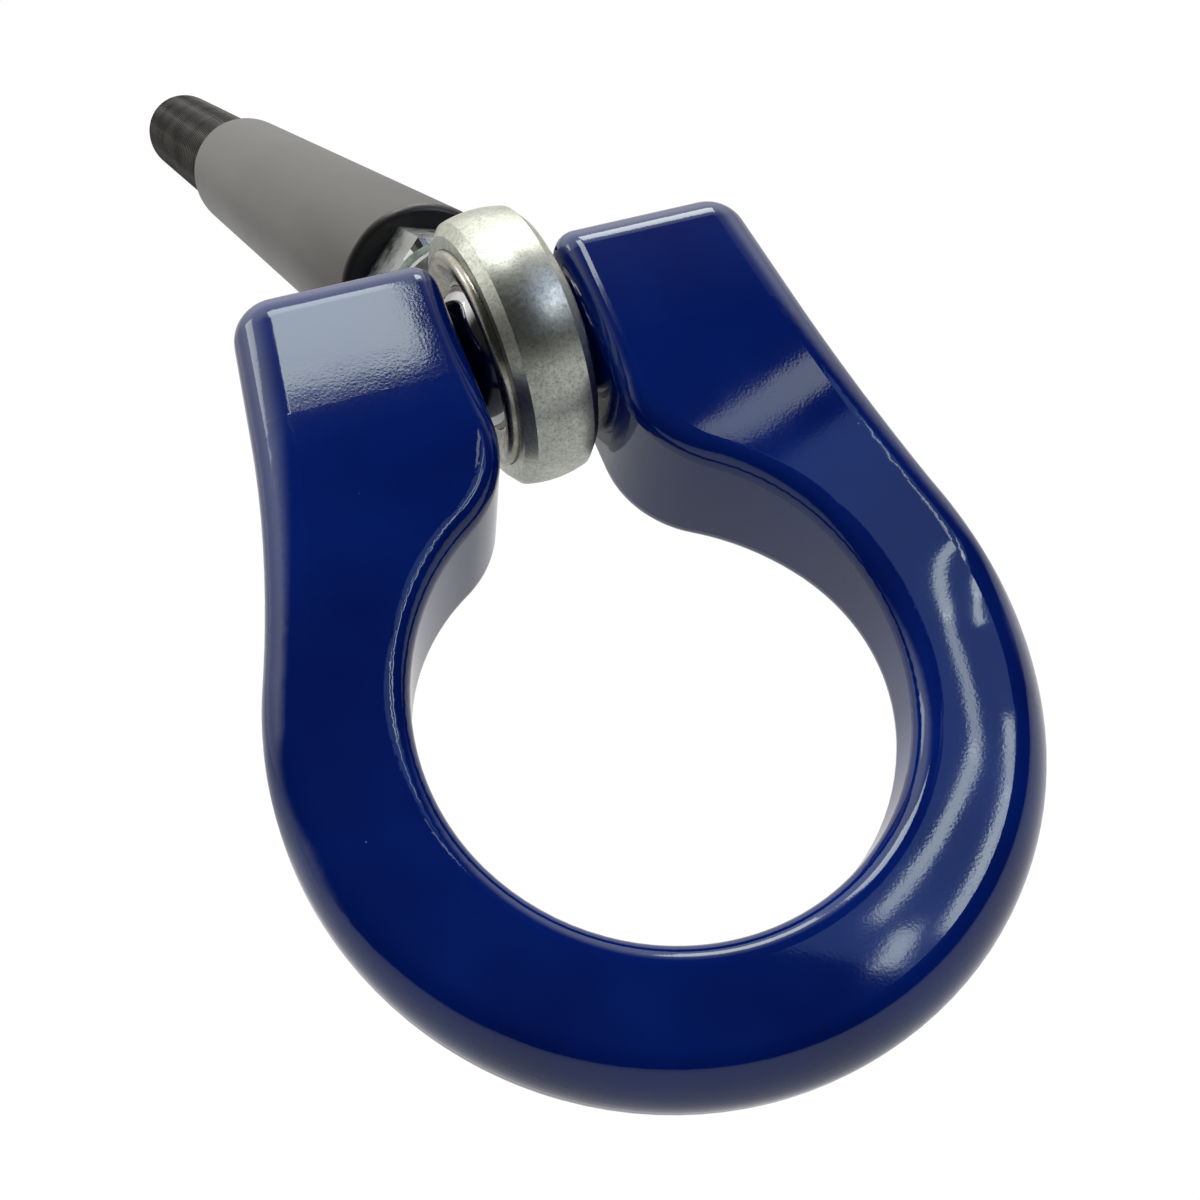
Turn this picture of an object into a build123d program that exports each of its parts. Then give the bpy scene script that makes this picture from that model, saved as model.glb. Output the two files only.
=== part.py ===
from build123d import *
import math
import os

# A screw-in tow eye: a threaded shaft, a rod end locked in it by a jam nut,
# and a tow ring carried on the ball of the rod end by a pivot pin.
# Millimetres. +Z is up, +Y runs along the shaft into the vehicle.
# The origin is on the shaft axis, at the shoulder where the threaded end begins.

# Shaft
shaft_d = 23.5
shaft_len = 138.0
shaft_chamfer = 0.8
thread_d = 20.0
thread_len = 100.0
thread_chamfer = 2.0

# Rod end
head_d = 32.0
head_w = 9.0
head_band = 6.8
head_crown = 0.45
head_bevel_in = 1.7
ball_d = 19.05
ball_w = 14.0
race_d = 25.6
race_lip = 1.0
race_round = 0.9
dish_d = 22.6
dish_foot_d = 18.0
dish_deep = 1.3
shank_d = 10.0
neck_d = 15.0
neck_start = 12.0
neck_end = 21.0
shank_bury = 16.0

# Jam nut
nut_flats = 17.0
nut_t = 6.0
nut_bevel = 1.1

# Tow ring, in the plane of the eye with the pin axis as its X
hole_d = 51.0
ring_d = 80.0
ring_t = 10.5
ear_t = 20.1
ear_end_w = 60.0
ear_foot_in = 3.79
ear_over = 8.8
ear_corner = 5.0
pin_to_hole = 47.45
ear_blend = 120.0
neck_round = 13.6
swell_low = 17.3
swell_high = 68.8
outer_round = 4.6
inner_round = 2.6

# Pivot pin
pin_d = 10.0
pin_reach_right = 28.4
pin_reach_left = 25.0
pin_chamfer = 0.6
socket_flats = 5.0
socket_deep = 6.0

# Clearances, radial for round fits and per side for flat ones
pin_play = 0.02
ear_hole_play = 0.06
ball_play = 0.08
race_play = 0.05
shank_play = 0.06
ear_side_play = 0.2
ball_reach = 34.5

# How the eye hangs in the picture: swing about the pin, then two small ball tilts
eye_swing = 38.4
eye_yaw = -3.0
eye_roll = 3.4

# Values that follow from those above
ball_y = -(shaft_len + ball_reach)
ear_gap = ball_w + 2 * ear_side_play
ear_top = ear_over
ear_low = -pin_to_hole
bore_r = pin_d / 2 + pin_play
rod = Plane(origin=(0, ball_y, 0), x_dir=(0, 1, 0), z_dir=(1, 0, 0))
along = Plane(origin=(0, 0, 0), x_dir=(1, 0, 0), z_dir=(0, 1, 0))
eye_at = Pos(0, ball_y, 0) * Rot(0, eye_roll, 0) * Rot(0, 0, eye_yaw) * Rot(eye_swing, 0, 0)
eye = Plane(eye_at)
pin = Plane(origin=eye.origin, x_dir=eye.y_dir, z_dir=eye.x_dir)
eye_x = Axis(eye.origin, eye.x_dir)
eye_y = Axis(eye.origin, eye.y_dir)
eye_z = Axis(eye.origin, eye.z_dir)

os.makedirs("parts", exist_ok=True)

# Tow ring: the outer shape first, with a side profile that swells into the ears
with BuildPart(eye) as tow_ring:
    with BuildSketch(eye):
        with Locations((0, ear_low)):
            Circle(ring_d / 2)
        with BuildLine():
            ear_foot = ring_d / 2 - ear_foot_in
            Polyline(
                (-ear_foot, ear_low),
                (ear_foot, ear_low),
                (ear_end_w / 2, ear_top),
                (-ear_end_w / 2, ear_top),
                close=True,
            )
        make_face()
        fillet(vertices().group_by(Axis.Y)[-1], ear_corner)
        waist = vertices().filter_by_position(Axis.Y, ear_low + 1, ear_top - 2 * ear_corner)
        fillet(waist, ear_blend)
    extrude(amount=ear_t / 2, both=True)
    with BuildSketch(pin):
        with BuildLine():
            low = (-swell_high + ear_over, ring_t / 2)
            high = (-swell_low + ear_over, ear_t / 2)
            middle = ((low[0] + high[0]) / 2, (low[1] + high[1]) / 2)
            run = high[0] - low[0]
            rise = high[1] - low[1]
            swell_r = (run * run + rise * rise) / (4 * rise)
            far = ear_low - ring_d
            Line((far, 0), (far, ring_t / 2))
            Line((far, ring_t / 2), low)
            RadiusArc(low, middle, -swell_r)
            RadiusArc(middle, high, swell_r)
            Line(high, (ear_top + 1, ear_t / 2))
            Line((ear_top + 1, ear_t / 2), (ear_top + 1, 0))
            mirror(about=Plane.XZ)
        make_face()
    extrude(amount=ring_d, both=True, mode=Mode.INTERSECT)
    rims = tow_ring.edges() - tow_ring.edges().filter_by(eye_z)
    rims = rims - rims.filter_by(eye_x).filter_by_position(eye_y, ear_low - ring_d, ear_top - 1)
    fillet(rims, outer_round)
    with BuildSketch(eye):
        with Locations((0, ear_low)):
            Circle(hole_d / 2)
        with Locations((0, ear_low)):
            Rectangle(ear_gap, ear_top - ear_low + 1, align=(Align.CENTER, Align.MIN))
        throat = vertices().filter_by_position(Axis.Y, ear_low + 1, ear_top)
        fillet(throat, neck_round)
    extrude(amount=ear_t, both=True, mode=Mode.SUBTRACT)
    lips = tow_ring.edges(Select.LAST)
    lips = lips - lips.filter_by(eye_z).filter_by_position(eye_y, ear_low - ring_d, ear_top - 1)
    fillet(lips, inner_round)
    with BuildSketch(pin):
        Circle(bore_r + ear_hole_play)
    extrude(amount=ear_end_w, mode=Mode.SUBTRACT)
    with BuildSketch(pin):
        Circle(bore_r + ear_hole_play)
    extrude(amount=-pin_reach_left, mode=Mode.SUBTRACT)
tow_ring.part.label = "tow_ring"
export_step(tow_ring.part, "parts/tow_ring.step")

# Pivot pin: headless, with a hexagon socket in the end that sits inside the right ear
with BuildPart(pin) as pivot_pin:
    with BuildSketch(pin.offset(-pin_reach_left)):
        Circle(pin_d / 2)
    extrude(amount=pin_reach_left + pin_reach_right)
    chamfer(pivot_pin.edges().filter_by(GeomType.CIRCLE), pin_chamfer)
    with BuildSketch(pin.offset(pin_reach_right)):
        RegularPolygon(socket_flats / 2, 6, major_radius=False)
    extrude(amount=-socket_deep, mode=Mode.SUBTRACT)
pivot_pin.part.label = "pivot_pin"
export_step(pivot_pin.part, "parts/pivot_pin.step")

# Ball of the rod end, with flats where the ears stand beside it
with BuildPart(pin) as ball:
    Sphere(ball_d / 2)
    Cylinder(ball_d, ball_w, mode=Mode.INTERSECT)
    Cylinder(bore_r, ball_d, mode=Mode.SUBTRACT)
ball.part.label = "ball"
export_step(ball.part, "parts/ball.step")

# Race pressed into the head: a rounded lip stands out on each side, dished down to the ball
race_w = head_w + 2 * race_lip
with BuildPart(rod) as race:
    Cylinder(race_d / 2 - race_play, race_w)
    fillet(race.edges().filter_by(GeomType.CIRCLE), race_round)
    for side in (0, 180):
        with Locations(Rot(side, 0, 0) * Pos(0, 0, race_w / 2)):
            Cone(
                dish_foot_d / 2,
                dish_d / 2,
                dish_deep,
                align=(Align.CENTER, Align.CENTER, Align.MAX),
                mode=Mode.SUBTRACT,
            )
    Sphere(ball_d / 2 + ball_play, mode=Mode.SUBTRACT)
race.part.label = "race"
export_step(race.part, "parts/race.step")

# Rod end: head, neck and shank in one piece
with BuildPart() as rod_end:
    with BuildSketch(Plane.XY):
        with BuildLine():
            Line((0, ball_y), (0, ball_y + neck_end))
            Line((0, ball_y + neck_end), (shank_d / 2, ball_y + neck_end))
            Line((shank_d / 2, ball_y + neck_end), (neck_d / 2, ball_y + neck_start))
            Line((neck_d / 2, ball_y + neck_start), (neck_d / 2, ball_y))
            Line((neck_d / 2, ball_y), (0, ball_y))
        make_face()
    revolve(axis=Axis.Y)
    with BuildSketch(along.offset(ball_y + neck_start)):
        Circle(shank_d / 2)
    extrude(amount=ball_reach + shank_bury - neck_start)
    with BuildSketch(Plane.XY):
        with BuildLine():
            face_y = ball_y + head_d / 2 - head_bevel_in
            band_y = ball_y + head_d / 2 - head_crown
            Line((-head_w / 2, ball_y), (-head_w / 2, face_y))
            Line((-head_w / 2, face_y), (-head_band / 2, band_y))
            ThreePointArc(
                (-head_band / 2, band_y),
                (0, ball_y + head_d / 2),
                (head_band / 2, band_y),
            )
            Line((head_band / 2, band_y), (head_w / 2, face_y))
            Line((head_w / 2, face_y), (head_w / 2, ball_y))
            Line((head_w / 2, ball_y), (-head_w / 2, ball_y))
        make_face()
    revolve(axis=Axis((0, ball_y, 0), (1, 0, 0)))
    with BuildSketch(rod.offset(-head_w)):
        Circle(race_d / 2)
    extrude(amount=2 * head_w, mode=Mode.SUBTRACT)
rod_end.part.label = "rod_end"
export_step(rod_end.part, "parts/rod_end.step")

# Jam nut, drawn up against the end of the shaft
with BuildPart() as jam_nut:
    with BuildSketch(along.offset(-shaft_len - nut_t)):
        RegularPolygon(nut_flats / 2, 6, major_radius=False)
        Circle(shank_d / 2 + shank_play, mode=Mode.SUBTRACT)
    extrude(amount=nut_t)
    with BuildSketch(Plane.XY):
        with BuildLine():
            tip_r = nut_flats / math.sqrt(3)
            back = -shaft_len
            front = -shaft_len - nut_t
            Line((0, back), (tip_r - nut_bevel, back))
            Line((tip_r - nut_bevel, back), (tip_r, back - nut_bevel / 2))
            Line((tip_r, back - nut_bevel / 2), (tip_r, front + nut_bevel / 2))
            Line((tip_r, front + nut_bevel / 2), (tip_r - nut_bevel, front))
            Line((tip_r - nut_bevel, front), (0, front))
            Line((0, front), (0, back))
        make_face()
    revolve(axis=Axis.Y, mode=Mode.INTERSECT)
jam_nut.part.label = "jam_nut"
export_step(jam_nut.part, "parts/jam_nut.step")

# Shaft, with the threaded end turned down to the thread's outer diameter
with BuildPart() as shaft:
    with BuildSketch(along.offset(-shaft_len)):
        Circle(shaft_d / 2)
    extrude(amount=shaft_len)
    with BuildSketch(along):
        Circle(thread_d / 2)
    extrude(amount=thread_len)
    chamfer(shaft.edges().group_by(Axis.Y)[-1], thread_chamfer)
    chamfer(shaft.edges().group_by(Axis.Y)[0], shaft_chamfer)
    with BuildSketch(along.offset(-shaft_len)):
        Circle(shank_d / 2 + shank_play)
    extrude(amount=shank_bury, mode=Mode.SUBTRACT)
shaft.part.label = "shaft"
export_step(shaft.part, "parts/shaft.step")
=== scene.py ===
"""Looks of a screw-in tow eye: coated ring, zinc plated rod end, black threaded shaft."""

from __future__ import annotations

import logging
import math
from abc import ABC, abstractmethod
from dataclasses import dataclass, field
from enum import Enum

import bpy
import numpy as np
from mathutils import Euler, Matrix, Vector

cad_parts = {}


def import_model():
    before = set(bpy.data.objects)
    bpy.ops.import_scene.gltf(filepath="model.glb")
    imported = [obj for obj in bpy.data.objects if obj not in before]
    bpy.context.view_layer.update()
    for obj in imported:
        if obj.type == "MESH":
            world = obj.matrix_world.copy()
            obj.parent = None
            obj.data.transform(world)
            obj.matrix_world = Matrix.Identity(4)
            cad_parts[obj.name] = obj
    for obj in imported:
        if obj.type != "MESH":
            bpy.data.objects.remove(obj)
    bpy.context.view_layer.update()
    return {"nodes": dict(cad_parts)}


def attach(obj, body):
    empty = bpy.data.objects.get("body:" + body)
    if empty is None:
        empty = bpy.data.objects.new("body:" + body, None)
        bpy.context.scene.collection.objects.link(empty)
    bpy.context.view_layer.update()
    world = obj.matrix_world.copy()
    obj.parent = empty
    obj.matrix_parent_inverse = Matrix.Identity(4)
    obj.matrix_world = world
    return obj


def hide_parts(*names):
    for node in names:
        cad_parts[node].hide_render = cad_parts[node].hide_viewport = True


LOG = logging.getLogger("tow_eye")
MM = 0.001
MICRON = 0.000001
WHITE = "#ffffff"

# A wave texture turns by this many radians over one unit of length
WAVE_PACE = 20.0

# Lengths that several pieces share, in millimetres, as in the part's source
BAR_LEN = 138.0
BALL_REACH = 34.5

# Edges that turn by more than this stay sharp, unless a piece says otherwise
SHARP_DEG = 35.0

Colour = tuple[float, float, float, float]
Ring = tuple[float, float | np.ndarray]
Nodes = dict[str, bpy.types.Object]


class Node(Enum):
    """The CAD nodes that get a finish or a finer piece in their place."""

    SHAFT = "shaft"
    NUT = "jam_nut"
    ROD_END = "rod_end"
    RACE = "race"
    BALL = "ball"
    PIN = "pivot_pin"
    RING = "tow_ring"


class Body(Enum):
    """The bodies that the scene's own pieces ride on."""

    SHAFT = "shaft"


class Slot(Enum):
    """Two material slot names for the scene's own pieces; no piece here is given either."""

    BLACK_STEEL = "black_steel"
    ZINC_STEEL = "zinc_steel"


class Seen(Enum):
    """Light Path outputs of the rays that see the white background."""

    CAMERA = "Is Camera Ray"
    GLOSSY = "Is Glossy Ray"
    THROUGH = "Is Transmission Ray"


def linear(hex_colour: str) -> Colour:
    """Turn an sRGB hex colour into linear red, green, blue and alpha.

    Args:
        hex_colour: six hex digits with a leading hash.

    Returns:
        Linear colour with alpha 1.
    """
    out = []
    for at in (1, 3, 5):
        c = int(hex_colour[at:at + 2], 16) / 255
        out.append(c / 12.92 if c <= 0.04045 else ((c + 0.055) / 1.055) ** 2.4)
    return out[0], out[1], out[2], 1.0


def per_metre(size_mm: float) -> float:
    """Give the texture scale at which one feature is that many millimetres wide."""
    return 1.0 / (size_mm * MM)


def add(tree: bpy.types.NodeTree, kind: str, values: dict | None = None,
        links: dict | None = None, stops: list[tuple[float, Colour]] | None = None,
        **settings: object) -> bpy.types.Node:
    """Add one shader node with its settings and links.

    Args:
        tree: the node tree to add to.
        kind: the node's type name.
        values: input socket name or index to a constant.
        links: input socket name or index to the output socket that feeds it.
        stops: the two places on a colour ramp, with their colours.
        settings: attributes of the node itself.

    Returns:
        The new node.
    """
    node = tree.nodes.new(kind)
    for name, value in settings.items():
        setattr(node, name, value)
    for socket, value in (values or {}).items():
        node.inputs[socket].default_value = value
    for socket, source in (links or {}).items():
        tree.links.new(source, node.inputs[socket])
    for at, (place, colour) in enumerate(stops or ()):
        node.color_ramp.elements[at].position = place
        node.color_ramp.elements[at].color = colour
    return node


def new_material(name: str) -> tuple[bpy.types.Material, bpy.types.NodeTree, bpy.types.Node]:
    """Start a material with a bare principled shader.

    Args:
        name: the material's name.

    Returns:
        The material, its node tree and its principled node.
    """
    material = bpy.data.materials.new(name)
    material.use_nodes = True
    tree = material.node_tree
    return material, tree, tree.nodes["Principled BSDF"]


def dress_piece(piece: bpy.types.Object, material: bpy.types.Material) -> None:
    """Put one material on a whole piece and report it.

    Args:
        piece: a CAD node or a piece of the scene's own.
        material: its finish.
    """
    piece.data.materials.clear()
    piece.data.materials.append(material)
    LOG.info("dressed %s with %s", piece.name, material.name)


@dataclass(frozen=True)
class RingPlace:
    """Where the ring lies, in millimetres and degrees, as the part's source places it."""

    ball_y: float = -(BAR_LEN + BALL_REACH)
    pin_to_hole: float = 47.45
    swing: float = 38.4
    yaw: float = -3.0
    roll: float = 3.4

    def axes(self) -> Matrix:
        """Work out the ring's own axes.

        Returns:
            The axes as the columns of a matrix.
        """
        roll = Matrix.Rotation(math.radians(self.roll), 3, "Y")
        yaw = Matrix.Rotation(math.radians(self.yaw), 3, "Z")
        return roll @ yaw @ Matrix.Rotation(math.radians(self.swing), 3, "X")

    def hole(self) -> Vector:
        """Give the centre of the hole in metres."""
        return Vector((0, self.ball_y * MM, 0)) - self.axes().col[1] * self.pin_to_hole * MM


@dataclass(frozen=True)
class BluePowderCoat:
    """Gloss powder coat baked on steel.

    The melt leaves a thick glassy skin with a slight orange peel, so reflections are
    bright but their edges are ragged, and a few dust nibs sit in it. The solid ring is flat
    between its edges. A bump bends the reflections as a crown about 1 mm high would.
    """

    deep: str = "#001354"
    pale: str = "#001a62"
    nib: str = "#8f97b8"
    sheen: str = "#f0fff9"
    ior: float = 1.5
    rough_low: float = 0.05
    rough_high: float = 0.09
    cloud_mm: float = 14.0
    cloud_band: tuple[float, float] = (0.3, 0.7)
    peel_mm: float = 0.32
    peel_um: float = 2.9
    wave_mm: float = 3.2
    wave_um: float = 6.0
    nib_mm: float = 2.6
    nib_edge: tuple[float, float] = (0.035, 0.055)
    nib_cover: float = 0.35
    nib_pick: tuple[float, float] = (0.80, 0.82)
    crown_r: float = 23.6
    crown_per_mm: float = 0.0145
    crown_fade_mm: tuple[float, float] = (-5.0, 7.0)

    def crown(self, tree: bpy.types.NodeTree, place: bpy.types.NodeSocket,
              ring: RingPlace) -> bpy.types.Node:
        """Bump that stands for a crown between the ring's edges.

        Args:
            tree: the material's node tree.
            place: the object coordinates.
            ring: where the ring lies.

        Returns:
            The bump node.
        """
        axes = ring.axes()
        out = add(tree, "ShaderNodeVectorMath", {1: ring.hole()}, {0: place}, operation="SUBTRACT")
        side = add(tree, "ShaderNodeVectorMath", {1: axes.col[0]}, {0: out.outputs[0]},
                   operation="DOT_PRODUCT").outputs["Value"]
        up = add(tree, "ShaderNodeVectorMath", {1: axes.col[1]}, {0: out.outputs[0]},
                 operation="DOT_PRODUCT").outputs["Value"]
        flat = add(tree, "ShaderNodeCombineXYZ", links={0: side, 1: up})
        radius = add(tree, "ShaderNodeVectorMath", links={0: flat.outputs[0]}, operation="LENGTH")
        off = add(tree, "ShaderNodeMath", {1: self.crown_r * MM}, {0: radius.outputs["Value"]},
                  operation="SUBTRACT").outputs[0]
        square = add(tree, "ShaderNodeMath", links={0: off, 1: off}, operation="MULTIPLY")
        start, end = self.crown_fade_mm
        fade = add(tree, "ShaderNodeMapRange",
                   {"From Min": start * MM, "From Max": end * MM,
                    "To Min": -self.crown_per_mm / MM / 2, "To Max": 0.0},
                   {"Value": up}, interpolation_type="SMOOTHSTEP")
        height = add(tree, "ShaderNodeMath", links={0: square.outputs[0], 1: fade.outputs["Result"]},
                     operation="MULTIPLY")
        # The height is in metres already
        return add(tree, "ShaderNodeBump", {"Strength": 1.0, "Distance": 1.0},
                   {"Height": height.outputs[0]})

    def nibs(self, tree: bpy.types.NodeTree, place: bpy.types.NodeSocket) -> bpy.types.NodeSocket:
        """Scatter a few dust nibs.

        Args:
            tree: the material's node tree.
            place: the object coordinates.

        Returns:
            How far a nib covers the blue.
        """
        cells = add(tree, "ShaderNodeTexVoronoi", {"Scale": per_metre(self.nib_mm)}, {"Vector": place})
        core, edge = self.nib_edge
        spots = add(tree, "ShaderNodeMapRange",
                    {"From Min": core, "From Max": edge, "To Min": self.nib_cover, "To Max": 0.0},
                    {"Value": cells.outputs["Distance"]})
        none, full = self.nib_pick
        picked = add(tree, "ShaderNodeMapRange", {"From Min": none, "From Max": full},
                     {"Value": cells.outputs["Color"]})
        return add(tree, "ShaderNodeMath",
                   links={0: spots.outputs["Result"], 1: picked.outputs["Result"]},
                   operation="MULTIPLY").outputs[0]

    def make(self, ring: RingPlace) -> bpy.types.Material:
        """Build the material.

        Args:
            ring: where the ring lies.

        Returns:
            The material.
        """
        # A deep navy under a skin that mirrors each lamp brightly, with a slightly ragged edge
        material, tree, skin = new_material("blue_powder_coat")
        place = add(tree, "ShaderNodeTexCoord").outputs["Object"]
        low, high = self.cloud_band
        cloud = add(tree, "ShaderNodeTexNoise", {"Scale": per_metre(self.cloud_mm), "Detail": 2.0},
                    {"Vector": place}).outputs["Fac"]
        blue = add(tree, "ShaderNodeValToRGB", links={"Fac": cloud},
                   stops=[(low, linear(self.deep)), (high, linear(self.pale))])
        colour = add(tree, "ShaderNodeMix", {7: linear(self.nib)},
                     {"Factor": self.nibs(tree, place), 6: blue.outputs["Color"]}, data_type="RGBA")
        gloss = add(tree, "ShaderNodeMapRange",
                    {"From Min": low, "From Max": high,
                     "To Min": self.rough_low, "To Max": self.rough_high}, {"Value": cloud})
        wave = add(tree, "ShaderNodeTexNoise", {"Scale": per_metre(self.wave_mm), "Detail": 1.0},
                   {"Vector": place})
        peel = add(tree, "ShaderNodeTexNoise", {"Scale": per_metre(self.peel_mm), "Detail": 1.5},
                   {"Vector": place})
        crowned = self.crown(tree, place, ring)
        waved = add(tree, "ShaderNodeBump", {"Strength": 1.0, "Distance": self.wave_um * MICRON},
                    {"Height": wave.outputs["Fac"], "Normal": crowned.outputs["Normal"]})
        peeled = add(tree, "ShaderNodeBump", {"Strength": 1.0, "Distance": self.peel_um * MICRON},
                     {"Height": peel.outputs["Fac"], "Normal": waved.outputs["Normal"]})
        skin.inputs["IOR"].default_value = self.ior
        skin.inputs["Specular Tint"].default_value = linear(self.sheen)
        tree.links.new(colour.outputs[2], skin.inputs["Base Color"])
        tree.links.new(gloss.outputs["Result"], skin.inputs["Roughness"])
        tree.links.new(peeled.outputs["Normal"], skin.inputs["Normal"])
        return material


@dataclass(frozen=True)
class SteelSkin:
    """Steel with a thin metal skin: plated, turned, polished or blackened.

    The skin follows the grain of the steel under it, so it is mottled and finely specked and
    blurs what it reflects. The values that stand here are those of bright zinc plate over
    forged steel, silver with a faint green and yellow cast.
    """

    name: str = "zinc_plate"
    light: str = "#c2c5bc"
    dull: str = "#999d94"
    speck: str = "#dcdeda"
    cloud_mm: float = 7.0
    mottle_mm: float = 0.6
    grain_mm: float = 0.26
    tone_band: tuple[float, float] = (0.35, 0.62)
    speck_band: tuple[float, float] = (0.36, 0.5)
    rough_band: tuple[float, float] = (0.35, 0.65)
    rough_low: float = 0.29
    rough_high: float = 0.4
    relief_um: float = 7.0

    def make(self) -> bpy.types.Material:
        """Build the material.

        Returns:
            The material.
        """
        material, tree, skin = new_material(self.name)
        place = add(tree, "ShaderNodeTexCoord").outputs["Object"]
        mottle = add(tree, "ShaderNodeTexNoise",
                     {"Scale": per_metre(self.mottle_mm), "Detail": 4.0, "Roughness": 0.65},
                     {"Vector": place}).outputs["Fac"]
        cloud = add(tree, "ShaderNodeTexNoise", {"Scale": per_metre(self.cloud_mm), "Detail": 2.0},
                    {"Vector": place}).outputs["Fac"]
        grain = add(tree, "ShaderNodeTexNoise", {"Scale": per_metre(self.grain_mm), "Detail": 2.0},
                    {"Vector": place}).outputs["Fac"]
        both = add(tree, "ShaderNodeMath", links={0: mottle, 1: cloud}, operation="ADD")
        half = add(tree, "ShaderNodeMath", {1: 0.5}, {0: both.outputs[0]}, operation="MULTIPLY")
        low, high = self.tone_band
        tone = add(tree, "ShaderNodeValToRGB", links={"Fac": half.outputs[0]},
                   stops=[(low, linear(self.dull)), (high, linear(self.light))])
        low, high = self.speck_band
        specks = add(tree, "ShaderNodeValToRGB", links={"Fac": grain},
                     stops=[(low, linear(self.speck)), (high, linear(WHITE))])
        colour = add(tree, "ShaderNodeMix", {"Factor": 1.0},
                     {6: tone.outputs["Color"], 7: specks.outputs["Color"]},
                     data_type="RGBA", blend_type="MULTIPLY")
        low, high = self.rough_band
        rough = add(tree, "ShaderNodeMapRange",
                    {"From Min": low, "From Max": high,
                     "To Min": self.rough_high, "To Max": self.rough_low}, {"Value": mottle})
        bump = add(tree, "ShaderNodeBump", {"Strength": 1.0, "Distance": self.relief_um * MICRON},
                   {"Height": grain})
        skin.inputs["Metallic"].default_value = 1.0
        tree.links.new(colour.outputs[2], skin.inputs["Base Color"])
        tree.links.new(rough.outputs["Result"], skin.inputs["Roughness"])
        tree.links.new(bump.outputs["Normal"], skin.inputs["Normal"])
        return material


# Zinc plate over forged steel: pale, satin and specked
ZINC_PLATE = SteelSkin()

# Zinc plate over a cut hexagon: a little bluer, and smoother on its flats
NUT_PLATE = SteelSkin(name="zinc_plate_nut", light="#adb3b2", dull="#8f9593", speck="#f4f4f4",
                      mottle_mm=1.6, rough_low=0.24, rough_high=0.4, relief_um=4.0)

# Turned steel: a warmer grey with a tighter shine
RACE_STEEL = SteelSkin(name="turned_race_steel", light="#a3a299", dull="#838279", speck="#ececea",
                       mottle_mm=1.5, rough_low=0.22, rough_high=0.32, relief_um=3.0)

# Ground and polished steel: mirrors what is round it sharply
BALL_STEEL = SteelSkin(name="polished_ball_steel", light="#a6a7aa", dull="#939497", speck="#f4f4f4",
                       mottle_mm=3.0, rough_low=0.05, rough_high=0.09, relief_um=0.5)

# Black oxide on steel: dark and dull
PIN_STEEL = SteelSkin(name="black_oxide_pin_steel", light="#4a4946", dull="#393836", speck="#d0d0d0",
                      mottle_mm=1.2, rough_low=0.3, rough_high=0.45, relief_um=4.0)


@dataclass(frozen=True)
class SatinBlack:
    """Satin black paint over a turned steel bar.

    A thin black paint film: black where it is looked at straight on, and a soft grey where
    it is seen at a slant and mirrors something pale. The turning marks show through faintly.
    The cut thread is given a paler grey base colour and a higher roughness than the bar.
    """

    light: str = "#161513"
    dull: str = "#0c0b0a"
    thread: str = "#383632"
    ior: float = 1.55
    cloud_mm: float = 9.0
    bar_band: tuple[float, float] = (0.35, 0.65)
    thread_band: tuple[float, float] = (0.35, 0.6)
    rough: float = 0.36
    thread_rough: float = 0.5
    rough_spread: float = 0.04
    thread_from_mm: float = 0.2
    turned_mm: float = 3.14
    turned_um: float = 4.0
    turned_share: float = 0.2

    def make(self) -> bpy.types.Material:
        """Build the material.

        Returns:
            The material.
        """
        # Near black from the front and soft grey at a slant, paler on the thread
        material, tree, skin = new_material("satin_black_paint")
        place = add(tree, "ShaderNodeTexCoord").outputs["Object"]
        along = add(tree, "ShaderNodeSeparateXYZ", links={0: place}).outputs["Y"]
        cut = add(tree, "ShaderNodeMath", {1: self.thread_from_mm * MM}, {0: along},
                  operation="GREATER_THAN").outputs[0]
        cloud = add(tree, "ShaderNodeTexNoise", {"Scale": per_metre(self.cloud_mm), "Detail": 3.0},
                    {"Vector": place}).outputs["Fac"]
        low, high = self.bar_band
        bar = add(tree, "ShaderNodeValToRGB", links={"Fac": cloud},
                  stops=[(low, linear(self.dull)), (high, linear(self.light))])
        # The thread's base colour: a paler grey than the bar's near black
        low, high = self.thread_band
        thread_tone = add(tree, "ShaderNodeValToRGB", links={"Fac": cloud},
                   stops=[(low, linear(self.light)), (high, linear(self.thread))])
        colour = add(tree, "ShaderNodeMix",
                     links={"Factor": cut, 6: bar.outputs["Color"], 7: thread_tone.outputs["Color"]},
                     data_type="RGBA")
        level = add(tree, "ShaderNodeMapRange", {"To Min": self.rough, "To Max": self.thread_rough},
                    {"Value": cut})
        spread = add(tree, "ShaderNodeMath", {1: self.rough_spread, 2: -self.rough_spread / 2},
                     {0: cloud}, operation="MULTIPLY_ADD")
        rough = add(tree, "ShaderNodeMath", links={0: level.outputs["Result"], 1: spread.outputs[0]},
                    operation="ADD")
        # Real turning marks are too fine to show, so these are drawn coarser
        marks = add(tree, "ShaderNodeTexWave",
                    {"Scale": math.tau / WAVE_PACE * per_metre(self.turned_mm),
                     "Distortion": 0.4, "Detail": 2.0}, {"Vector": place}, bands_direction="Y")
        bump = add(tree, "ShaderNodeBump",
                   {"Strength": self.turned_share, "Distance": self.turned_um * MICRON},
                   {"Height": marks.outputs["Fac"]})
        skin.inputs["IOR"].default_value = self.ior
        tree.links.new(colour.outputs[2], skin.inputs["Base Color"])
        tree.links.new(rough.outputs[0], skin.inputs["Roughness"])
        tree.links.new(bump.outputs["Normal"], skin.inputs["Normal"])
        return material


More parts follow.
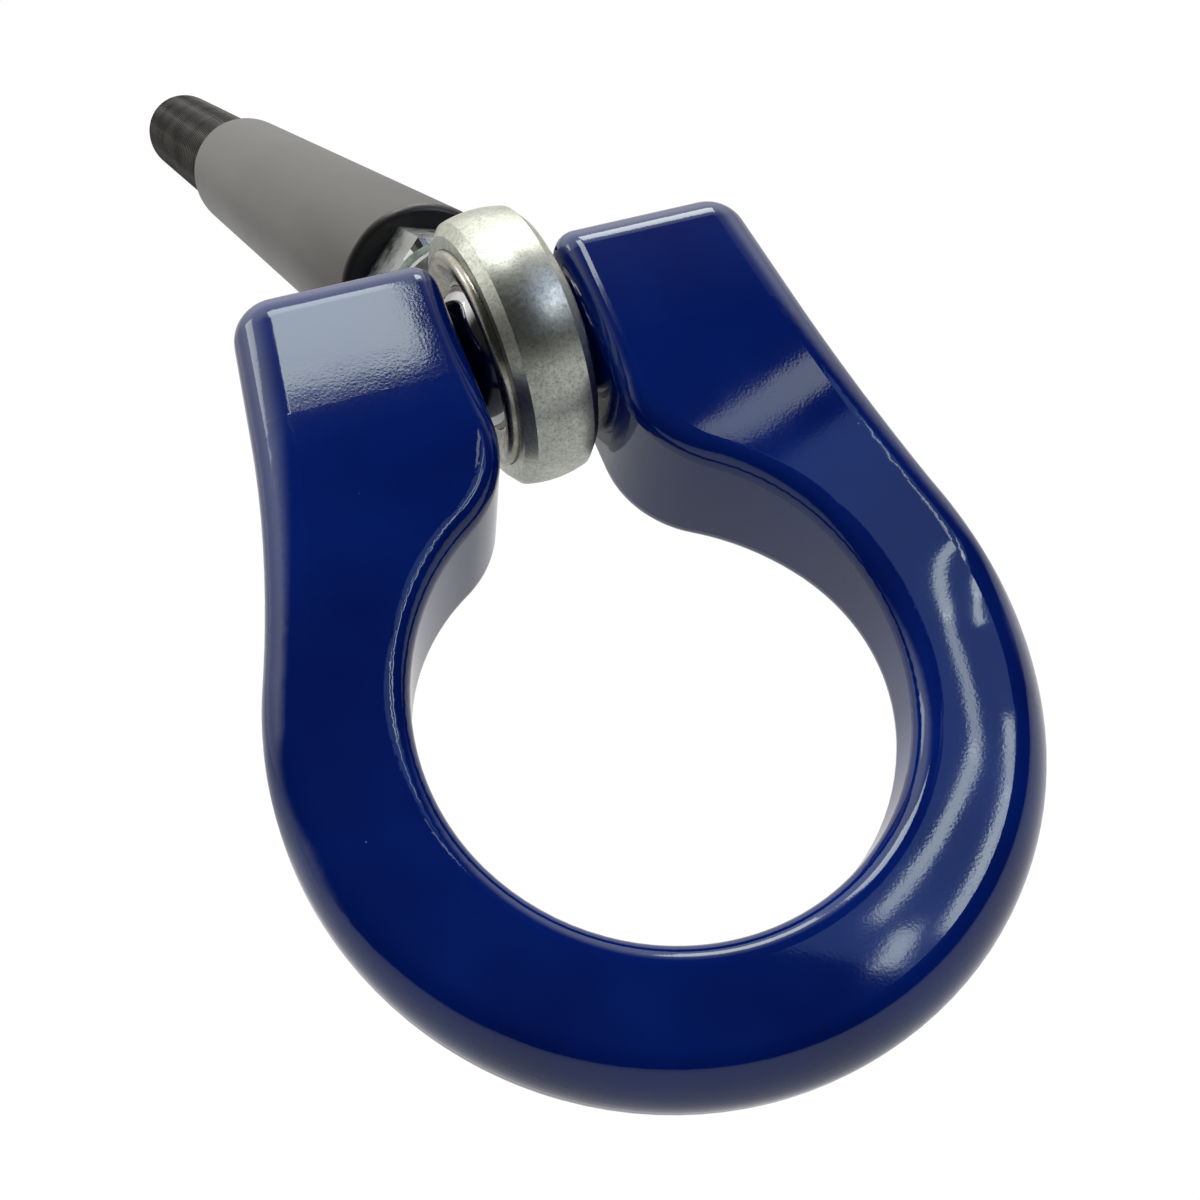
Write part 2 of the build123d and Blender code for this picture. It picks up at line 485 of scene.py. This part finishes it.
def put_mesh(name: str, points: list | np.ndarray, faces: list[tuple[int, ...]],
             sharp_deg: float = SHARP_DEG) -> bpy.types.Object:
    """Make a smooth-shaded mesh object with sharp edges kept.

    Args:
        name: the object's name.
        points: vertex places in metres.
        faces: vertex indices of each face.
        sharp_deg: edges that turn by more than this stay sharp.

    Returns:
        The new object, linked to the scene.
    """
    mesh = bpy.data.meshes.new(name)
    mesh.from_pydata([tuple(p) for p in points], [], faces)
    mesh.validate()
    mesh.shade_smooth()
    mesh.set_sharp_from_angle(angle=math.radians(sharp_deg))
    thing = bpy.data.objects.new(name, mesh)
    bpy.context.scene.collection.objects.link(thing)
    return thing


def turned(name: str, rings: list[Ring], segments: int, start_deg: float = 0.0,
           sharp_deg: float = SHARP_DEG) -> bpy.types.Object:
    """Make a closed piece about the Y axis from a run of rings.

    Args:
        name: the object's name.
        rings: axial place and radius, one or one for each point, in millimetres, from end to end.
        segments: points in each ring.
        start_deg: angle of each ring's first point.
        sharp_deg: edges that turn by more than this stay sharp.

    Returns:
        The new object.
    """
    turn = np.linspace(0, math.tau, segments, endpoint=False) + math.radians(start_deg)
    rows = [np.stack([r * np.cos(turn), np.full(segments, y), r * np.sin(turn)], axis=1)
            for y, r in rings]
    points = np.concatenate(rows + [[[0, rings[0][0], 0], [0, rings[-1][0], 0]]]) * MM
    first, last = len(points) - 2, len(points) - 1
    end = (len(rings) - 1) * segments
    faces: list[tuple[int, ...]] = []
    for a in range(0, end, segments):
        b = a + segments
        for i in range(segments):
            j = (i + 1) % segments
            faces.append((a + i, b + i, b + j, a + j))
    for i in range(segments):
        j = (i + 1) % segments
        faces.append((first, i, j))
        faces.append((last, end + j, end + i))
    return put_mesh(name, points, faces, sharp_deg)


class SubAssembly(ABC):
    """Pieces that are made and finished together."""

    @abstractmethod
    def dress(self, nodes: Nodes) -> None:
        """Make the pieces that the CAD nodes lack and give each piece its finish."""


@dataclass
class ThreadedShaft(SubAssembly):
    """The black bar with its threaded end, in millimetres."""

    bar_r: float = 11.75
    bar_len: float = BAR_LEN
    bar_rows: tuple[float, ...] = (40.0, 80.0)
    chamfer: float = 0.8
    ease: float = 0.15
    ease_along: float = 0.05
    ease_off: float = 0.06
    shoulder: float = 0.5
    shoulder_mid: float = 0.12
    bore_r: float = 5.06
    bore_deep: float = 16.0
    bore_tip_r: float = 0.2
    thread_r: float = 10.0
    thread_len: float = 100.0
    tip: float = 2.0
    pitch: float = 2.5
    depth: float = 1.5
    crest_share: float = 0.14
    flank_share: float = 0.62
    run_in_from: float = 0.4
    run_in: float = 2.5
    segments: int = 64
    steps: int = 12
    finish: SatinBlack = field(default_factory=SatinBlack)

    def bar_rings(self) -> list[Ring]:
        """Outline the bar from the bottom of its bore to the foot of the thread.

        Returns:
            The bar's rings.
        """
        near = -self.bar_len
        floor = near + self.bore_deep
        rim = self.bar_r - self.chamfer
        bore = [(floor, self.bore_tip_r), (floor, self.bore_r), (near, self.bore_r)]
        edge = [(near, rim - self.ease), (near + self.ease_off, rim + self.ease_along),
                (near + self.chamfer - self.ease_along, self.bar_r - self.ease_off),
                (near + self.chamfer + self.ease, self.bar_r)]
        body = [(near + y, self.bar_r) for y in self.bar_rows]
        foot = [(-self.shoulder, self.bar_r), (-self.shoulder_mid, self.bar_r - self.shoulder_mid),
                (0.0, self.bar_r - self.shoulder), (0.0, self.thread_r - self.depth)]
        return bore + edge + body + foot

    def dip(self, turns: np.ndarray) -> np.ndarray:
        """Shape of one thread pitch: 0 on the crest, 1 in the root.

        Args:
            turns: place along the pitch, in turns.

        Returns:
            Dip at each place.
        """
        across = np.abs((turns % 1.0) - 0.5) * 2
        return np.clip((across - self.crest_share) / self.flank_share, 0.0, 1.0)

    def thread_rings(self) -> list[Ring]:
        """Wind the thread from the shoulder, where it runs in, to the bevelled tip.

        Returns:
            The thread's rings.
        """
        around = np.arange(self.segments) / self.segments
        tip_r = self.thread_r - self.tip
        rings: list[Ring] = []
        for k in range(1, int(self.thread_len / self.pitch * self.steps)):
            y = k * self.pitch / self.steps
            start = np.clip(1.0 - (y - self.run_in_from) / self.run_in, 0.0, 1.0)
            dip = np.maximum(self.dip(y / self.pitch - around), start)
            r = np.minimum(self.thread_r - self.depth * dip, tip_r + (self.thread_len - y))
            rings.append((y, r))
        return rings + [(self.thread_len, tip_r)]

    def build(self) -> bpy.types.Object:
        """Build the bar with its cut thread and let it stand for the CAD shaft.

        Returns:
            The bar.
        """
        bar = turned("threaded_shaft", self.bar_rings() + self.thread_rings(), self.segments)
        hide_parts(Node.SHAFT.value)
        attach(bar, Body.SHAFT.value)
        return bar

    def dress(self, nodes: Nodes) -> None:
        """Build the bar and paint it."""
        dress_piece(self.build(), self.finish.make())


@dataclass
class JamNut(SubAssembly):
    """The hexagon nut and the collar in front of it, in millimetres."""

    seat_y: float = -BAR_LEN
    height: float = 10.5
    flats: float = 17.0
    bevel: float = 0.66
    face_land: float = 0.1
    corner_deg: float = 99.5
    sharp_deg: float = 8.0
    collar_r: float = 8.5
    collar_y: tuple[float, float] = (-153.0, -151.3)
    collar_edge: float = 0.2
    front_slope: float = 2.0
    back_slope: float = 1.6
    neck_r: float = 6.0
    segments: int = 72
    finish: SteelSkin = NUT_PLATE

    def nut_rings(self) -> list[Ring]:
        """Outline the hexagon with its bevelled faces, each ring from a corner on.

        Returns:
            The nut's rings.
        """
        turn = np.linspace(0, 360, self.segments, endpoint=False)
        hexagon = self.flats / 2 / np.cos(np.radians(turn % 60.0 - 30.0))
        face = np.minimum(hexagon, self.flats / 2 + self.face_land)
        front = self.seat_y - self.height
        return [(front, face), (front + self.bevel, hexagon),
                (self.seat_y - self.bevel, hexagon), (self.seat_y, face)]

    def collar_rings(self) -> list[Ring]:
        """Outline the collar, which slopes down to the neck on both sides.

        Returns:
            The collar's rings.
        """
        start, end = self.collar_y
        edge_r = self.collar_r - self.collar_edge
        return [(start - self.front_slope, self.neck_r), (start, edge_r),
                (start + self.collar_edge, self.collar_r), (end - self.collar_edge, self.collar_r),
                (end, edge_r), (end + self.back_slope, self.neck_r)]

    def build(self) -> list[bpy.types.Object]:
        """Build the nut, which stands for the CAD nut, and the collar on the rod end's neck.

        Returns:
            Both pieces.
        """
        nut = turned("hexagon_nut", self.nut_rings(), self.segments, self.corner_deg, self.sharp_deg)
        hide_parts(Node.NUT.value)
        collar = turned("neck_collar", self.collar_rings(), self.segments)
        for piece in (nut, collar):
            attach(piece, Body.SHAFT.value)
        return [nut, collar]

    def dress(self, nodes: Nodes) -> None:
        """Build both pieces and plate them.

        Args:
            nodes: CAD nodes by name; not used.
        """
        plate = self.finish.make()
        for piece in self.build():
            dress_piece(piece, plate)


@dataclass
class RodEnd(SubAssembly):
    """The rod end with its race and ball, and the pin through it."""

    finishes: dict[Node, SteelSkin] = field(default_factory=lambda: {
        Node.ROD_END: ZINC_PLATE,
        Node.RACE: RACE_STEEL,
        Node.BALL: BALL_STEEL,
        Node.PIN: PIN_STEEL,
    })

    def dress(self, nodes: Nodes) -> None:
        """Give each node its own steel."""
        for node, finish in self.finishes.items():
            dress_piece(nodes[node.value], finish.make())


@dataclass
class TowRing(SubAssembly):
    """The coated ring with its two ears."""

    place: RingPlace = field(default_factory=RingPlace)
    finish: BluePowderCoat = field(default_factory=BluePowderCoat)

    def dress(self, nodes: Nodes) -> None:
        """Coat the ring."""
        dress_piece(nodes[Node.RING.value], self.finish.make(self.place))


@dataclass(frozen=True)
class Panel:
    """A soft lamp: a flat glowing panel that faces the object, in metres."""

    name: str
    at: tuple[float, float, float]
    long_way: tuple[float, float, float]
    length: float
    width: float
    radiance: float
    tint: str = WHITE
    mirrored: bool = True

    def hang(self, aim: Vector) -> None:
        """Hang the panel so that it faces a point.

        Args:
            aim: the point it faces.
        """
        data = bpy.data.lights.new(self.name, "AREA")
        data.shape = "RECTANGLE"
        data.size, data.size_y = self.length, self.width
        data.energy = self.radiance * math.pi * self.length * self.width
        data.color = linear(self.tint)[:3]
        back = (Vector(self.at) - aim).normalized()
        side = Vector(self.long_way)
        side = (side - side.dot(back) * back).normalized()
        turn = Matrix((side, back.cross(side), back)).transposed()
        lamp = bpy.data.objects.new(self.name, data)
        lamp.matrix_world = Matrix.Translation(self.at) @ turn.to_4x4()
        lamp.visible_glossy = self.mirrored
        bpy.context.scene.collection.objects.link(lamp)


@dataclass
class Studio:
    """Floor, light and camera, in metres."""

    floor_z: float = -0.12
    floor_r: float = 20.0
    floor_tint: str = "#b8b8b8"
    floor_rough: float = 0.9
    floor_glow: float = 1.03
    floor_shares: dict[Seen, float] = field(default_factory=lambda: {
        Seen.CAMERA: 0.95,
        Seen.GLOSSY: 0.3,
        Seen.THROUGH: 0.95,
    })
    room_tint: str = "#fffcf6"
    room_front: float = 0.02
    room_back: float = 0.88
    room_turn: tuple[float, float] = (-0.1, 0.35)
    room_top: float = 2.2
    room_rise: tuple[float, float] = (0.2, 0.65)
    sensor_mm: float = 36.0
    lens_mm: float = 43.5
    lens_near: float = 0.01
    eye_at: tuple[float, float, float] = (-0.043991, -0.330090, 0.050131)
    eye_turn_deg: tuple[float, float, float] = (61.9562, 11.4220, -22.8616)
    aim: tuple[float, float, float] = (0.0, -0.19, -0.01)
    panels: tuple[Panel, ...] = (
        Panel("overhead", (0.0945, -0.06, 1.0), (1, 0, 0), 0.255, 0.37, 8.0),
        Panel("overhead_back", (0.48, 0.24, 1.0), (1, 0, 0), 0.36, 0.34, 8.0),
        Panel("left_back", (-0.62, 0.33, 0.72), (0.5, 0.85, 0), 0.3, 0.3, 4.0),
        Panel("pane_high", (0.54, -0.54, 1.0), (1, 1, 0), 0.25, 0.075, 2.7),
        Panel("inner_top", (0.815, -0.652, 0.826), (-0.042, -0.232, -0.086), 0.26, 0.05, 5.0),
        Panel("inner_low", (0.655, -0.881, 0.796), (-0.278, -0.226, 0.024), 0.36, 0.055, 6.5),
        Panel("outer_top", (0.887, -0.776, 0.678), (-0.053, -0.135, -0.045), 0.16, 0.045, 7.0),
        Panel("outer_low", (0.754, -0.959, 0.643), (-0.214, -0.231, -0.026), 0.32, 0.05, 7.5),
        Panel("patch", (0.542, -1.081, 0.704), (0.041, 0.048, 0.026), 0.1, 0.08, 7.0),
        Panel("glow", (0.76, -0.85, 0.87), (1, 1, 0), 0.8, 0.56, 1.1, "#a9c4ff"),
        Panel("fill", (-0.25, -0.75, 0.95), (1, 0, 0), 0.8, 0.8, 2.3, mirrored=False),
    )

    def build(self) -> None:
        """Set up floor, world, lamps, camera and colour handling."""
        self.floor()
        self.world()
        for panel in self.panels:
            panel.hang(Vector(self.aim))
        self.camera()
        bpy.context.scene.view_settings.view_transform = "Standard"

    def floor(self) -> None:
        """Lay the white floor, which keeps a faint shadow of the object."""
        corners = ((-1, -1), (1, -1), (1, 1), (-1, 1))
        points = [(x * self.floor_r, y * self.floor_r, self.floor_z) for x, y in corners]
        floor = put_mesh("floor", points, [(0, 1, 2, 3)])
        material, tree, skin = new_material("floor_white")
        skin.inputs["Base Color"].default_value = linear(self.floor_tint)
        skin.inputs["Roughness"].default_value = self.floor_rough
        path = add(tree, "ShaderNodeLightPath")
        share = add(tree, "ShaderNodeValue").outputs[0]
        share.default_value = 0.0
        for ray, part in self.floor_shares.items():
            one = add(tree, "ShaderNodeMath", {1: part}, {0: path.outputs[ray.value]},
                      operation="MULTIPLY")
            share = add(tree, "ShaderNodeMath", links={0: share, 1: one.outputs[0]},
                        operation="MAXIMUM").outputs[0]
        glow = add(tree, "ShaderNodeEmission", {"Strength": self.floor_glow})
        mix = add(tree, "ShaderNodeMixShader",
                  links={0: share, 1: skin.outputs[0], 2: glow.outputs[0]})
        tree.links.new(mix.outputs[0], tree.nodes["Material Output"].inputs["Surface"])
        dress_piece(floor, material)

    def world(self) -> None:
        """Make the world white to the camera, with a pale back and a dark front to the object."""
        world = bpy.data.worlds.new("studio")
        bpy.context.scene.world = world
        world.use_nodes = True
        tree = world.node_tree
        tree.nodes.clear()
        way = add(tree, "ShaderNodeTexCoord").outputs["Generated"]
        parts = add(tree, "ShaderNodeSeparateXYZ", links={0: way})
        start, end = self.room_turn
        pale = add(tree, "ShaderNodeMapRange",
                   {"From Min": start, "From Max": end,
                    "To Min": self.room_front, "To Max": self.room_back},
                   {"Value": parts.outputs["Y"]}, interpolation_type="SMOOTHSTEP")
        start, end = self.room_rise
        high = add(tree, "ShaderNodeMapRange",
                   {"From Min": start, "From Max": end, "To Min": 1.0, "To Max": self.room_top},
                   {"Value": parts.outputs["Z"]}, interpolation_type="SMOOTHSTEP")
        strength = add(tree, "ShaderNodeMath",
                       links={0: pale.outputs["Result"], 1: high.outputs["Result"]},
                       operation="MULTIPLY")
        room = add(tree, "ShaderNodeBackground", {"Color": linear(self.room_tint)},
                   {"Strength": strength.outputs[0]})
        white = add(tree, "ShaderNodeBackground", {"Color": linear(WHITE), "Strength": 1.0})
        path = add(tree, "ShaderNodeLightPath")
        mix = add(tree, "ShaderNodeMixShader",
                  links={0: path.outputs[Seen.CAMERA.value], 1: room.outputs[0], 2: white.outputs[0]})
        add(tree, "ShaderNodeOutputWorld", links={"Surface": mix.outputs[0]})

    def camera(self) -> None:
        """Place the camera where the photograph was taken from."""
        data = bpy.data.cameras.new("camera")
        data.sensor_width = self.sensor_mm
        data.lens = self.lens_mm
        data.clip_start = self.lens_near
        eye = bpy.data.objects.new("camera", data)
        eye.location = self.eye_at
        eye.rotation_euler = Euler([math.radians(a) for a in self.eye_turn_deg], "XYZ")
        bpy.context.scene.collection.objects.link(eye)
        bpy.context.scene.camera = eye


def main() -> None:
    """Build every sub-assembly and report each piece."""
    logging.basicConfig(level=logging.INFO, format="%(message)s")
    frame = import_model()
    for group in (ThreadedShaft(), JamNut(), RodEnd(), TowRing()):
        group.dress(frame["nodes"])
    Studio().build()


if __name__ == "__main__":
    main()
